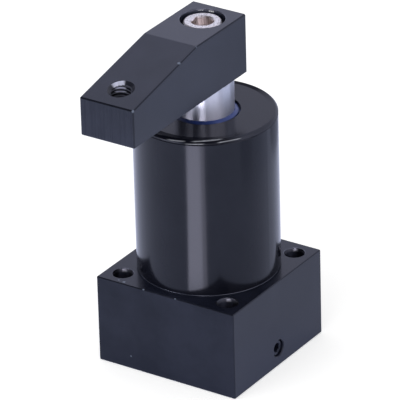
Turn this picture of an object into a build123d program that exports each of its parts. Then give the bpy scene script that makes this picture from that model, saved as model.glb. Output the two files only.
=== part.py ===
"""Hydraulic swing clamp cylinder: a square base, a round barrel, a turning rod and a clamp arm.

Frame: millimetres, +Z up along the rod, origin at the middle of the base's underside.
The arm points along -Y when it clamps. Seen from above it swings anticlockwise, towards +X, as it is freed.
"""
from build123d import *
import os
from math import asin, atan, cos, degrees, radians, sin, sqrt, tan

os.makedirs("parts", exist_ok=True)

# Which end of a cone lies on its starting plane
standing = (Align.CENTER, Align.CENTER, Align.MIN)
hanging = (Align.CENTER, Align.CENTER, Align.MAX)

# Clearances
slip_fit = 0.03          # radial, between pieces that stay put in each other
running_fit = 0.06       # radial, between a shaft and its guide
axial_play = 0.1         # between faces that turn on each other
ring_gap = 0.05          # round a seal in its groove
ball_gap = 0.12          # round a guide ball in its groove
gland_gap = 0.24         # radial, round the rod where nothing guides it

# Base block
base_side = 55.0
base_height = 32.0
base_edge = 0.3
base_floor = 4.5         # steel left under the chamber
bolt_spacing = 42.0
bolt_hole_dia = 7.0
bolt_hole_edge = 0.3

# Barrel
barrel_dia = 49.0
barrel_height = 58.0     # above the base
barrel_top_edge = 0.8
barrel_edge_round = 0.18  # where the top chamfer meets its neighbours
barrel_line_drop = 1.5   # from the barrel's top down to a fine turned line
barrel_line_width = 0.35
barrel_line_depth = 0.15
barrel_foot_edge = 0.5
spigot_dia = 41.0
spigot_length = 12.0
spigot_end_gap = 0.1
bore_dia = 30.0
bore_lead_in = 0.8
bore_end_gap = 1.0       # above the piston at full travel

# Travel
clamp_stroke = 10.0      # straight part
swing_lift = 12.0        # the part of the travel that turns the arm
swing_angle = 90.0

# Rod and its tail
rod_dia = 20.0
rod_top_edge = 0.5
tail_dia = 16.0
tail_end_edge = 0.8
tail_end_wall = 0.6
neck_dia = 12.0          # enters the arm
neck_length = 8.8
neck_edge = 0.5

# Guide sleeve and balls
ball_dia = 5.0
ball_count = 3
ball_sink = 0.3          # the balls' centres lie this far outside the tail's surface
first_ball_angle = 90.0
sleeve_dia = 25.0
sleeve_seat_height = 13.0
sleeve_foot_wall = 6.0   # under the ball slots
sleeve_head_wall = 3.5   # above the ball slots
sleeve_edge = 0.5
chamber_dia = 23.0       # under the sleeve
dowel_dia = 2.5
dowel_angle = 180.0
dowel_end_gap = 0.2
oil_groove_dia = 3.6     # outside the sleeve, between the ball slots

# Piston
piston_rest_gap = 0.3    # above the sleeve
piston_land = 1.0
piston_side_gap = 0.1
piston_edge = 0.5
wear_ring_height = 3.0
wear_ring_depth = 1.5
piston_seal_height = 3.0
piston_seal_depth = 2.5
slide_ring_depth = 1.3
bore_ring_section = 1.8
bore_ring_height = 2.3
retainer_height = 1.2
retainer_grip = 0.6      # groove depth in the tail
retainer_width = 2.3
retainer_mouth = 70.0    # degrees left open

# Gland at the barrel's top
gland_dia = 24.2         # wiper's recess
wiper_depth = 4.5
wiper_shoulder = 1.7     # from the barrel's top down to the wiper's flange
wiper_lip_rise = 0.3     # from the barrel's top up to the wiper's lip
wiper_lip_slope = 0.7    # from the lip's top down to its outer edge
wiper_lip_face = 0.25    # flat on top, beside the rod
wiper_lip_wall = 1.25
gland_land = 1.1
rod_seal_height = 3.8
rod_seal_dia = 25.4
bush_dia = 24.0

# Clamp arm
arm_gap = 11.8           # between the barrel and the arm when clamped
arm_width = 21.0
arm_reach = 57.0         # rod axis to tip
arm_back = 10.3          # rod axis to heel
arm_height = 21.4
arm_tip_height = 13.7
arm_flat = 19.3          # rod axis to the ridge where the slope starts
arm_edge = 0.4
arm_neck_gap = 0.2
tip_thread_inset = 8.7   # tip to the thread's axis
tip_thread_core_dia = 6.8
tip_thread_mouth_dia = 9.2
pin_dia = 2.5
pin_reach = 7.9
pin_depth = 3.5          # in the rod, and as much in the arm
pin_end_gap = 0.2

# Arm screw, M8
screw_head_dia = 13.0
screw_head_height = 8.0
screw_head_edge = 0.5
screw_head_sink = 0.8    # below the arm's top
screw_dia = 8.0
screw_length = 20.0
screw_hex = 6.9          # as wide as it looks beside the head
screw_hex_depth = 4.2
screw_hex_edge = 0.12
screw_turn = 38.0        # how far round the screw came to rest
screw_tip_edge = 0.9
screw_hole_dia = 8.6
counterbore_dia = 15.0
counterbore_edge = 0.35
screw_hole_spare = 3.0   # threaded depth below the screw's end

# Oil ports and channels
port_core_dia = 8.8      # tapping drill of a G1/8 port
port_mouth_edge = 0.6
port_depth = 9.0
port_offset = 9.0
port_height = 11.0
channel_dia = 2.5
channel_end_drop = 1.6   # below the bore's end
drill_angle = 118.0
channel_ring_section = 1.2
plug_height = 6.6
plug_dia = 6.0
plug_hole_depth = 7.5
plug_hole_edge = 0.3
plug_sink = 0.8
plug_length = 5.5
plug_hex = 3.0
plug_hex_depth = 2.4
plug_hex_edge = 0.1
plug_edge = 0.4
spigot_ring_section = 2.0
spigot_ring_height = 2.6
spigot_ring_drop = 2.4   # spigot's end to the ring's groove

# Heights that follow
barrel_top = base_height + barrel_height
spigot_floor = base_height - spigot_length - spigot_end_gap
ball_radius = ball_dia / 2
ball_circle = tail_dia / 2 + ball_sink
ball_rest = sleeve_seat_height + sleeve_foot_wall + ball_radius + ball_gap
sleeve_top = ball_rest + clamp_stroke + ball_radius + ball_gap + sleeve_head_wall
tail_end = ball_rest - swing_lift - ball_radius - ball_gap - tail_end_wall
piston_low = sleeve_top + piston_rest_gap
piston_height = 3 * piston_land + wear_ring_height + piston_seal_height
piston_high = piston_low + piston_height
wear_ring_low = piston_low + piston_land
piston_seal_low = wear_ring_low + wear_ring_height + piston_land
bore_top = piston_high + clamp_stroke + swing_lift + bore_end_gap
wiper_low = barrel_top - wiper_depth
rod_seal_low = wiper_low - gland_land - rod_seal_height
bush_top = rod_seal_low - gland_land
arm_low = barrel_top + arm_gap
arm_top = arm_low + arm_height
screw_seat = arm_top - screw_head_sink - screw_head_height
arm_slope = (arm_height - arm_tip_height) / (arm_reach - arm_flat)
tip_thread_reach = arm_reach - tip_thread_inset
channel_radius = (bore_dia + spigot_dia) / 4   # in the middle of the spigot's wall
channel_y = sqrt(channel_radius**2 - port_offset**2)


def turned(*outline):
    """A piece turned about the rod axis from (radius, height) points."""
    profile = Polyline(*[(radius, 0, height) for radius, height in outline], close=True)
    return revolve(make_face(profile), Axis.Z)


def rod_cylinder(dia, low, high):
    """A plain cylinder on the rod axis."""
    return Pos(0, 0, low) * Cylinder(dia / 2, high - low, align=standing)


def upright(dia, low, high, x, y):
    """A plain cylinder parallel to the rod axis."""
    return Pos(x, y, 0) * rod_cylinder(dia, low, high)


def along_x(dia, start, end, height):
    """A cylinder along +X at y = 0."""
    return Pos(start, 0, height) * Rot(0, 90, 0) * rod_cylinder(dia, 0, end - start)


def along_y(dia, start, end, x, height):
    """A cylinder along +Y."""
    return Pos(x, start, height) * Rot(-90, 0, 0) * rod_cylinder(dia, 0, end - start)


def squeezed_ring(inner, outer, low, high):
    """A rubber ring pressed into its groove: an O-ring with its four sides flattened."""
    corner = (outer - inner) / (2 + sqrt(2))
    return turned((inner, low + corner), (inner + corner, low),
                  (outer - corner, low), (outer, low + corner),
                  (outer, high - corner), (outer - corner, high),
                  (inner + corner, high), (inner, high - corner))


def hex_socket(across_flats, top, depth, edge):
    """The cutter for a hexagon socket that opens upwards, with a turned chamfer at its mouth."""
    corner = across_flats / 2 / cos(radians(30))
    point = across_flats / 2 / tan(radians(drill_angle / 2))
    prism = extrude(Pos(0, 0, top - depth) * RegularPolygon(corner, 6), depth)
    floor = Pos(0, 0, top - depth) * Cone(0, across_flats / 2, point, align=hanging)
    wide, narrow = corner + edge, across_flats / 2
    mouth = Pos(0, 0, top) * Cone(narrow, wide, wide - narrow, align=hanging)
    return prism + floor + mouth


def bolt_centres():
    """The corners of the bolt pattern."""
    half = bolt_spacing / 2
    return [(x, y) for x in (-half, half) for y in (-half, half)]


def port_cutter(x):
    """A tapped port in the rear face, with its drill point and chamfered mouth."""
    rear = base_side / 2
    radius = port_core_dia / 2
    mouth = radius + port_mouth_edge
    point = radius / tan(radians(drill_angle / 2))
    outline = Polyline((0, 0), (mouth, 0), (radius, port_mouth_edge), (radius, port_depth),
                       (0, port_depth + point), close=True)
    hole = revolve(make_face(outline), Axis.Y)
    return Pos(x, rear, port_height) * Rot(0, 0, 180) * hole


def sleeve_dowel(dia, low, high):
    """The dowel that keeps the sleeve from turning, half in the sleeve and half in the base."""
    angle = radians(dowel_angle)
    return upright(dia, low, high, sleeve_dia / 2 * cos(angle), sleeve_dia / 2 * sin(angle))


def base_block():
    """The square flange with its bolt holes, oil ports and stepped centre bore."""
    block = Box(base_side, base_side, base_height, align=(Align.CENTER, Align.CENTER, Align.MIN))
    block = chamfer(block.edges(), base_edge)
    seat_dia = sleeve_dia + 2 * slip_fit
    block -= rod_cylinder(spigot_dia + 2 * slip_fit, spigot_floor, base_height)
    block -= rod_cylinder(seat_dia, sleeve_seat_height, spigot_floor)
    block -= rod_cylinder(chamber_dia, base_floor, sleeve_seat_height)
    block -= sleeve_dowel(dowel_dia, sleeve_seat_height, spigot_floor)
    wide, narrow = bolt_hole_dia / 2 + bolt_hole_edge, bolt_hole_dia / 2
    for x, y in bolt_centres():
        block -= upright(bolt_hole_dia, 0, base_height, x, y)
        block -= Pos(x, y, 0) * Cone(wide, narrow, bolt_hole_edge, align=standing)
        block -= Pos(x, y, base_height) * Cone(narrow, wide, bolt_hole_edge, align=hanging)
    for x in (-port_offset, port_offset):
        block -= port_cutter(x)
    port_end = base_side / 2 - port_depth
    block -= along_y(channel_dia, 0, port_end, -port_offset, port_height)
    block -= along_y(channel_dia, channel_y, port_end, port_offset, port_height)
    block -= upright(channel_dia, port_height - channel_dia / 2, spigot_floor, port_offset, channel_y)
    seal_dia = channel_dia + 2 * (channel_ring_section + ring_gap)
    block -= upright(seal_dia, spigot_floor - channel_ring_section, spigot_floor, port_offset, channel_y)
    return block - plug_cutter()


def plug_cutter():
    """The tapped hole in the right face and the drilling behind it that opens into the chamber."""
    side = base_side / 2
    hole = along_x(plug_dia, side - plug_hole_depth, side, plug_height)
    hole += along_x(channel_dia, 0, side, plug_height)
    mouth = Cone(plug_dia / 2, plug_dia / 2 + plug_hole_edge, plug_hole_edge, align=hanging)
    return hole + Pos(side, 0, plug_height) * Rot(0, 90, 0) * mouth


def channel_plug():
    """The grub screw that closes the cross drilling in the right face."""
    outer = base_side / 2 - plug_sink
    radius = plug_dia / 2 - slip_fit
    screw = turned((0, 0), (radius - plug_edge, 0), (radius, plug_edge), (radius, plug_length - plug_edge),
                   (radius - plug_edge, plug_length), (0, plug_length))
    screw -= hex_socket(plug_hex, plug_length, plug_hex_depth, plug_hex_edge)
    return Pos(outer - plug_length, 0, plug_height) * Rot(0, 90, 0) * screw


def channel_seal():
    """The small ring that seals the oil channel where the barrel meets the base."""
    inner = channel_dia / 2 + ring_gap / 2
    low = spigot_floor - channel_ring_section
    ring = squeezed_ring(inner, inner + channel_ring_section, low, spigot_floor)
    return Pos(port_offset, channel_y, 0) * ring


def spigot_groove():
    """Low and high edge and bottom radius of the seal groove round the barrel's spigot."""
    low = spigot_floor + spigot_end_gap + spigot_ring_drop
    return low, low + spigot_ring_height, spigot_dia / 2 - spigot_ring_section


def barrel():
    """The cylinder tube: outside, threaded spigot, bore, and the gland for bush, seal and wiper.

    The top chamfer has lightly rounded edges, drawn as one more flat on each, and a fine turned line
    runs round the wall below it.
    """
    outer, spigot, bore = barrel_dia / 2, spigot_dia / 2, bore_dia / 2
    foot = spigot_floor + spigot_end_gap
    groove_low, groove_high, groove_radius = spigot_groove()
    hole = rod_dia / 2 + gland_gap
    line_top = barrel_top - barrel_line_drop
    tube = turned(
        (bore + bore_lead_in, foot), (spigot - base_edge, foot), (spigot, foot + base_edge),
        (spigot, groove_low), (groove_radius, groove_low), (groove_radius, groove_high),
        (spigot, groove_high), (spigot, base_height), (outer - barrel_foot_edge, base_height),
        (outer, base_height + barrel_foot_edge), (outer, line_top - barrel_line_width),
        (outer - barrel_line_depth, line_top - barrel_line_width / 2), (outer, line_top),
        (outer, barrel_top - barrel_top_edge - barrel_edge_round),
        (outer - barrel_edge_round, barrel_top - barrel_top_edge + barrel_edge_round),
        (outer - barrel_top_edge + barrel_edge_round, barrel_top - barrel_edge_round),
        (outer - barrel_top_edge - barrel_edge_round, barrel_top), (gland_dia / 2, barrel_top),
        (gland_dia / 2, wiper_low),
        (hole, wiper_low), (hole, rod_seal_low + rod_seal_height),
        (rod_seal_dia / 2, rod_seal_low + rod_seal_height), (rod_seal_dia / 2, rod_seal_low),
        (hole, rod_seal_low), (hole, bush_top), (bush_dia / 2, bush_top), (bush_dia / 2, bore_top),
        (bore, bore_top), (bore, foot + bore_lead_in))
    tube -= upright(channel_dia, foot, bore_top - channel_end_drop, port_offset, channel_y)
    angle = degrees(asin(channel_y / channel_radius))
    cross_hole = along_x(channel_dia, 0, channel_radius, bore_top - channel_end_drop)
    return tube - Rot(0, 0, angle) * cross_hole


def spigot_seal():
    """The ring that seals the barrel's spigot in the base."""
    low, high, radius = spigot_groove()
    spare = (high - low - spigot_ring_section) / 2
    return squeezed_ring(radius + ring_gap / 2, spigot_dia / 2 - ring_gap / 2, low + spare, high - spare)


def rod_bush():
    """The bronze bush that guides the rod."""
    inner, outer = rod_dia / 2 + running_fit, bush_dia / 2 - slip_fit
    return turned((inner, bore_top + sleeve_edge), (inner + sleeve_edge, bore_top), (outer, bore_top),
                  (outer, bush_top - sleeve_edge), (outer - sleeve_edge, bush_top), (inner, bush_top))


def rod_seal():
    """The lip seal under the wiper, with its notch towards the oil."""
    inner, outer = rod_dia / 2 + running_fit, rod_seal_dia / 2 - ring_gap
    low, high = rod_seal_low + ring_gap, rod_seal_low + rod_seal_height - ring_gap
    middle, lip = (inner + outer) / 2, (outer - inner) / 4
    return turned((inner, low), (inner + lip, low), (middle, low + 2 * lip), (outer - lip, low),
                  (outer, low), (outer, high), (inner, high))


def wiper():
    """The wiper ring: a flange in the recess and a lip that leans on the rod."""
    inner, outer = rod_dia / 2 + running_fit, gland_dia / 2 - ring_gap
    low, flange = wiper_low + ring_gap, barrel_top - wiper_shoulder
    lip, lip_top = inner + wiper_lip_wall, barrel_top + wiper_lip_rise
    return turned((inner, low), (outer, low), (outer, flange), (lip, flange),
                  (lip, lip_top - wiper_lip_slope), (inner + wiper_lip_face, lip_top), (inner, lip_top))


def around_axis(shape, count, first):
    """Equal copies of a shape about the rod axis."""
    return [Rot(0, 0, first + step * 360 / count) * shape for step in range(count)]


def guide_sleeve():
    """The fixed sleeve with its upright ball slots, and oil grooves outside between them."""
    inner, outer = tail_dia / 2 + running_fit, sleeve_dia / 2
    sleeve = turned((inner, sleeve_seat_height), (outer - sleeve_edge, sleeve_seat_height),
                    (outer, sleeve_seat_height + sleeve_edge), (outer, sleeve_top - sleeve_edge),
                    (outer - sleeve_edge, sleeve_top), (inner + sleeve_edge, sleeve_top),
                    (inner, sleeve_top - sleeve_edge))
    slot_dia = ball_dia + 2 * ball_gap
    slot = upright(slot_dia, ball_rest, ball_rest + clamp_stroke, ball_circle, 0)
    for height in (ball_rest, ball_rest + clamp_stroke):
        slot += Pos(ball_circle, 0, height) * Sphere(slot_dia / 2)
    for cutter in around_axis(slot, ball_count, first_ball_angle):
        sleeve -= cutter
    oil_groove = upright(oil_groove_dia, sleeve_seat_height, sleeve_top, outer, 0)
    for cutter in around_axis(oil_groove, ball_count, first_ball_angle + 180 / ball_count):
        sleeve -= cutter
    return sleeve - sleeve_dowel(dowel_dia, sleeve_seat_height, spigot_floor)


def guide_balls():
    """The balls that turn the rod, as one group of solids."""
    ball = Pos(ball_circle, 0, ball_rest) * Sphere(ball_radius)
    return Compound(around_axis(ball, ball_count, first_ball_angle))


def cam_groove():
    """The cutter for one helical groove of the tail, with its straight run-in from the tail's end.

    The groove turns by the swing angle over the swing lift, so a ball that stands still turns the rod.
    """
    radius = ball_radius + ball_gap
    low = ball_rest - swing_lift
    pitch = swing_lift * 360 / swing_angle
    path = Pos(0, 0, low) * Helix(pitch, swing_lift, ball_circle)
    section = Plane(origin=path @ 0, z_dir=path % 0) * Circle(radius)
    groove = sweep(section, path, is_frenet=True)
    groove = Rot(0, 0, -swing_angle) * groove
    top_ball = Pos(ball_circle, 0, ball_rest) * Sphere(radius)
    run_in = upright(2 * radius, tail_end, low, ball_circle, 0) + Pos(ball_circle, 0, low) * Sphere(radius)
    return groove, top_ball, Rot(0, 0, -swing_angle) * run_in


def piston_rod():
    """The rod with its neck for the arm, and the tail with the helical cam grooves."""
    rod, tail, neck = rod_dia / 2, tail_dia / 2, neck_dia / 2
    shoulder = piston_high + axial_play
    neck_top = arm_low + neck_length
    groove_low, groove_high = retainer_heights()
    body = turned(
        (0, tail_end), (tail - tail_end_edge, tail_end), (tail, tail_end + tail_end_edge), (tail, groove_low),
        (tail - retainer_grip, groove_low), (tail - retainer_grip, groove_high), (tail, groove_high),
        (tail, shoulder), (rod, shoulder), (rod, arm_low - rod_top_edge), (rod - rod_top_edge, arm_low),
        (neck, arm_low), (neck, neck_top - neck_edge), (neck - neck_edge, neck_top), (0, neck_top))
    thread_end = screw_seat - screw_length - screw_hole_spare
    body -= rod_cylinder(screw_dia + 2 * slip_fit, thread_end, neck_top)
    thread = screw_dia / 2 + slip_fit
    body -= Pos(0, 0, thread_end) * Cone(0, thread, thread / tan(radians(drill_angle / 2)), align=hanging)
    body -= upright(pin_dia + 2 * slip_fit, arm_low - pin_depth - pin_end_gap, arm_low, 0, -pin_reach)
    for cutter in cam_groove():
        for copy in around_axis(cutter, ball_count, first_ball_angle):
            body -= copy
    return body


def retainer_heights():
    """Low and high edge of the retaining ring's groove in the tail."""
    high = piston_low + retainer_height + 2 * axial_play
    return high - retainer_height - 2 * ring_gap, high


def piston():
    """The piston, which slides with the rod while the rod turns in it."""
    bore, outer = tail_dia / 2 + running_fit, bore_dia / 2 - piston_side_gap
    wear = bore_dia / 2 - wear_ring_depth
    seal = bore_dia / 2 - piston_seal_depth
    recess = tail_dia / 2 - retainer_grip + retainer_width + axial_play + piston_edge
    recess_top = retainer_heights()[1] + axial_play
    ring_low, ring_high, ring_radius = bore_ring_groove()
    wear_high = wear_ring_low + wear_ring_height
    seal_high = piston_seal_low + piston_seal_height
    return turned(
        (recess, piston_low), (outer - piston_edge, piston_low), (outer, piston_low + piston_edge),
        (outer, wear_ring_low), (wear, wear_ring_low), (wear, wear_high), (outer, wear_high),
        (outer, piston_seal_low), (seal, piston_seal_low), (seal, seal_high), (outer, seal_high),
        (outer, piston_high - piston_edge), (outer - piston_edge, piston_high), (bore, piston_high),
        (bore, ring_high), (ring_radius, ring_high), (ring_radius, ring_low), (bore, ring_low),
        (bore, recess_top), (recess, recess_top))


def bore_ring_groove():
    """Low and high edge and bottom radius of the seal groove in the piston's bore."""
    middle = piston_seal_low + piston_seal_height / 2
    half = bore_ring_height / 2
    return middle - half, middle + half, tail_dia / 2 + running_fit + bore_ring_section


def piston_bore_ring():
    """The ring that seals the piston on the rod's tail."""
    low, high, radius = bore_ring_groove()
    spare = (high - low - bore_ring_section) / 2
    inner = radius - bore_ring_section + ring_gap / 2
    return squeezed_ring(inner, radius - ring_gap / 2, low + spare, high - spare)


def band(inner, outer, low, height):
    """A plain ring in a groove, with a gap above and below."""
    return turned((inner, low + ring_gap), (outer, low + ring_gap),
                  (outer, low + height - ring_gap), (inner, low + height - ring_gap))


def piston_wear_ring():
    """The guide band round the piston."""
    bore = bore_dia / 2
    return band(bore - wear_ring_depth + ring_gap, bore - running_fit, wear_ring_low, wear_ring_height)


def piston_slide_ring():
    """The outer sliding ring of the piston seal."""
    bore = bore_dia / 2
    return band(bore - slide_ring_depth, bore - running_fit, piston_seal_low, piston_seal_height)


def piston_seal_ring():
    """The rubber ring that presses the sliding ring outwards."""
    inner = bore_dia / 2 - piston_seal_depth + ring_gap
    outer = bore_dia / 2 - slide_ring_depth - ring_gap
    middle = piston_seal_low + piston_seal_height / 2
    half = (outer - inner) / 2
    return squeezed_ring(inner, outer, middle - half, middle + half)


def retaining_ring():
    """The open spring ring that holds the piston on the tail."""
    inner = tail_dia / 2 - retainer_grip + slip_fit
    low = retainer_heights()[0] + ring_gap
    ring = band(inner, inner + retainer_width, low - ring_gap, retainer_height + 2 * ring_gap)
    half = radians(retainer_mouth / 2)
    corner_x, corner_y = rod_dia * cos(half), rod_dia * sin(half)
    wedge = make_face(Polyline((0, 0), (corner_x, corner_y), (corner_x, -corner_y), close=True))
    return ring - extrude(Pos(0, 0, piston_low) * wedge, piston_height)


def arm_top_at(reach):
    """Height of the arm's upper side at a distance from the rod axis towards the tip."""
    return arm_top - max(0, reach - arm_flat) * arm_slope


def clamp_arm():
    """The arm: a bar with a sloped top, the screw's counterbore at the heel and a tapped tip."""
    side = Polyline((0, arm_back, arm_low), (0, arm_back, arm_top), (0, -arm_flat, arm_top),
                    (0, -arm_reach, arm_low + arm_tip_height), (0, -arm_reach, arm_low), close=True)
    arm = Pos(-arm_width / 2, 0, 0) * extrude(make_face(side), arm_width, dir=(1, 0, 0))
    ridge = Vector(0, -arm_flat, arm_top)
    arm = chamfer([edge for edge in arm.edges() if edge.distance_to(ridge) > arm_edge], arm_edge)
    arm -= rod_cylinder(neck_dia + 2 * slip_fit, arm_low, arm_low + neck_length + arm_neck_gap)
    arm -= rod_cylinder(screw_hole_dia, arm_low, arm_top)
    arm -= rod_cylinder(counterbore_dia, screw_seat, arm_top)
    counterbore = counterbore_dia / 2
    mouth = Cone(counterbore, counterbore + counterbore_edge, counterbore_edge, align=hanging)
    arm -= Pos(0, 0, arm_top) * mouth
    arm -= upright(pin_dia + 2 * slip_fit, arm_low, arm_low + pin_depth + pin_end_gap, 0, -pin_reach)
    return arm - tip_thread_cutter()


def tip_thread_cutter():
    """The tapped hole through the tip, with a countersink on the slope and one underneath."""
    core, mouth = tip_thread_core_dia / 2, tip_thread_mouth_dia / 2
    sink = mouth - core
    top = arm_top_at(tip_thread_reach)
    hole = rod_cylinder(tip_thread_core_dia, arm_low, arm_top)
    countersink = Pos(0, 0, -sink) * Cone(core, core + 2 * sink, 2 * sink, align=standing)
    hole += Pos(0, 0, top) * Rot(degrees(atan(arm_slope)), 0, 0) * countersink
    hole += Pos(0, 0, arm_low) * Cone(mouth, core, sink, align=standing)
    return Pos(0, -tip_thread_reach, 0) * hole


def arm_screw():
    """The socket head cap screw that pulls the arm onto the rod."""
    head, shank = screw_head_dia / 2, screw_dia / 2
    top = screw_seat + screw_head_height
    tip = screw_seat - screw_length
    screw = turned((0, tip), (shank - screw_tip_edge, tip), (shank, tip + screw_tip_edge),
                   (shank, screw_seat), (head, screw_seat), (head, top - screw_head_edge),
                   (head - screw_head_edge, top), (0, top))
    return Rot(0, 0, screw_turn) * (screw - hex_socket(screw_hex, top, screw_hex_depth, screw_hex_edge))


def arm_pin():
    """The pin that keeps the arm from turning on the rod."""
    return upright(pin_dia, arm_low - pin_depth, arm_low + pin_depth, 0, -pin_reach)


dowel_top = spigot_floor - dowel_end_gap
pieces = {
    "base_block": base_block(),
    "barrel": barrel(),
    "spigot_seal_ring": spigot_seal(),
    "channel_seal_ring": channel_seal(),
    "channel_plug_screw": channel_plug(),
    "guide_sleeve": guide_sleeve(),
    "sleeve_dowel_pin": sleeve_dowel(dowel_dia - 2 * slip_fit, sleeve_seat_height, dowel_top),
    "guide_balls": guide_balls(),
    "rod_bush": rod_bush(),
    "rod_seal": rod_seal(),
    "wiper_ring": wiper(),
    "piston": piston(),
    "piston_wear_ring": piston_wear_ring(),
    "piston_slide_ring": piston_slide_ring(),
    "piston_seal_ring": piston_seal_ring(),
    "piston_bore_ring": piston_bore_ring(),
    "piston_retaining_ring": retaining_ring(),
    "piston_rod": piston_rod(),
    "clamp_arm": clamp_arm(),
    "arm_screw": arm_screw(),
    "arm_locating_pin": arm_pin(),
}
for name, shape in pieces.items():
    export_step(shape, f"parts/{name}.step")
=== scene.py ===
"""Looks of the swing clamp cylinder: camera, studio, finishes, threads and fine detail."""
from math import atan, cos, pi, radians, sin, sqrt, tan

import bmesh
import bpy
from mathutils import Matrix, Vector


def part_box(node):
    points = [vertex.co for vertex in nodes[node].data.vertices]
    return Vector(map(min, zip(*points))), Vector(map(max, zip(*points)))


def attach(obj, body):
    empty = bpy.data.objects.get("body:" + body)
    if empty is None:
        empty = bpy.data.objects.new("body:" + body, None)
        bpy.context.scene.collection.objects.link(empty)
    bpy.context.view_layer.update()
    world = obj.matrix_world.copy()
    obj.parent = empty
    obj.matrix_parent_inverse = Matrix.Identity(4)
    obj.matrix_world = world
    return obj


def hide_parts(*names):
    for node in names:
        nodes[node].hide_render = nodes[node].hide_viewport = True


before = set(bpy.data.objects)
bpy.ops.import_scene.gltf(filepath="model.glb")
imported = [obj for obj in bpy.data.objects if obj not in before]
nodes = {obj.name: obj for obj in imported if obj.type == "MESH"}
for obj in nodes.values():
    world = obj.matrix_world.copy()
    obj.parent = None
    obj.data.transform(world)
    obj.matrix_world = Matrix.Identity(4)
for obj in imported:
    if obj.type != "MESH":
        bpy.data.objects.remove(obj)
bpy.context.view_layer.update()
scene = bpy.context.scene
MM = 0.001
UM = 0.000001

# Camera, fitted to the outline points of the photograph
CAM_AZIMUTH = 33.813      # degrees from -Y towards +X
CAM_ELEVATION = 26.793
CAM_ROLL = -1.547
CAM_DISTANCE = 1.551159
CAM_FOCAL_PX = 4610.824
CAM_SHIFT_PX = (7.023, -10.942)
CAM_CLIP = (0.05, 50)
PICTURE_PX = 400
SENSOR_MM = 36.0
MIDDLE = Vector((0, 0, 0.060))   # the point on the rod axis that the camera and lamps are aimed at

# The room: its level on the object, and the colours of its parts in gloss
WORLD_LEVEL = 0.6
ROOM_IN_GLOSS = (0.98, 1.0, 1.27)
FLOOR_IN_GLOSS = (0.3, 0.36, 0.66)
LAMP_IN_GLOSS = (1.0, 0.97, 1.15)
SHADE_IN_GLOSS = (0.92, 1.0, 1.35)

# The studio: soft lamps, panels and hoods on domes round the object, and a wide floor
SOFTBOX_ELEVATION = 24
SOFTBOX_DISTANCE = 0.9
SOFTBOX_SIZE = (0.5, 0.6)
SOFTBOX_LEVEL = 1.6
PANEL_REACH = 1.5
CAMERA_PANEL_REACH = 1.6
OVERHEAD_X, OVERHEAD_Y = (-1.0, 0.3), (-0.15, 0.3)
OVERHEAD_HEIGHT = 1.6
OVERHEAD_LEVEL = 6.0
HOOD_REACH = 3.0
HOOD_LEVEL = 0.06
HOOD_PANELS = 4
FLOOR_HALF = 6.0
FLOOR_DROP = 0.1 * MM            # below the object's underside
CARD_RISE = 0.2 * MM             # of the cards on the floor
FRONT_SECTOR = (0.085, 0.3)      # from and to these distances from the axis
SIDE_SECTOR = (0.175, 0.7)

# Sizes shared with the CAD part
ARM_REACH = 57 * MM
TIP_REACH = 48.3 * MM            # rod axis to the tip thread's axis
TIP_HEIGHT = 13.7 * MM
TIP_CORE = 3.4 * MM
TIP_MAJOR = 4.0 * MM
TIP_MOUTH = 4.6 * MM
TIP_PITCH = 1.25 * MM
TIP_SLOPE = atan(7.7 / 37.7)
TIP_HOLE_REACH = 1.08 * TIP_MOUTH      # a circle round all of the hole
COUNTERBORE_RIM = 8 * MM
SOCKET_RADIUS = 4.3 * MM
SOCKET_LIP = 0.13 * MM           # from the screw's top down to where the socket's colour starts
PORT_OFFSET = 9 * MM
PORT_HEIGHT = 11 * MM
PORT_CORE = 4.4 * MM
PORT_MAJOR = 4.86 * MM
PORT_MOUTH = 5.0 * MM
PORT_PITCH = 0.907 * MM
PORT_DEPTH = 9 * MM
PORT_HOLE_REACH = 1.02 * PORT_MOUTH
BOLT_CENTRES = [(x * MM, y * MM) for x in (-21, 21) for y in (-21, 21)]
BOLT_MOUTH = 3.9 * MM
# A bolt hole's wall is paler near its mouth: painted light
BOLT_PALE = (1.5 * MM, 0.8 * MM)       # depths between which a bolt hole's wall turns pale
BOLT_RAGGED = 0.3 * MM
BARREL_RADIUS = 24.5 * MM
BARREL_TOP = 90 * MM
LAND_RADIUS = 21.6 * MM          # inside of the ring along the barrel's top edge

# The bead in the groove at the barrel's foot
BEAD_RADIUS = 24.2 * MM
BEAD_SECTION = 0.22 * MM
BEAD_AROUND, BEAD_SIDES = 160, 12

# Threads: 60 degree flanks, and a flat root of a sixteenth of the pitch on each side
THREAD_AROUND = 96
THREAD_FLANK = tan(radians(30))
THREAD_ROOT = 1 / 16
THREAD_FADE = 0.4                # share of its depth over which a thread runs out into its mouth
THREAD_SPARE = 3                 # turns added, since the rows slant past both ends
SAME_PLACE = 0.001 * MM          # thread points this close are one
SINK_STEP = 0.3 * MM             # past the core by this, the wall belongs to the countersink
SINK_DEPTH = 3 * MM
SOLVER_STEPS = 12

# Limits by which faces and edges of the CAD meshes are told apart
JOIN_REACH = 0.002 * MM          # vertices this close are joined
FACE_REACH = 0.1 * MM            # the tip's end face lies this close to ARM_REACH
WALL_MARGIN = 0.01 * MM          # past the ends of a port's wall
FLAT_COSINE = 0.995              # of the angle between a flat face and the normal it is to have
SLANT = 0.3                      # least part of a chamfer's normal along each of two axes
STEEP = 0.9                      # a wall's normal has less than this along Z
LEAST_NORMAL = 0.1               # summed normals shorter than this give no direction
BROAD_FACE = 20 * MM * MM
SOFT_TURN = radians(24)          # faces that turn less are shaded as one
BROAD_TURN = radians(2)          # the same between two broad faces

# Material slots of the dressed arm and base
SURFACE, EDGE, BORE, THREAD, TIP, RIM, SINK = range(7)

# The barrel's top edge: heights of its rings in millimetres, and the lean of the shading there in degrees
EDGE_RINGS = ((88.5, 2), (89.02, 20), (89.38, 36), (89.82, 62), (90.0, 84))
RING_REACH = 0.02 * MM
TOP_FACE = 0.95                  # part of the top face's normal along Z, at least
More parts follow.
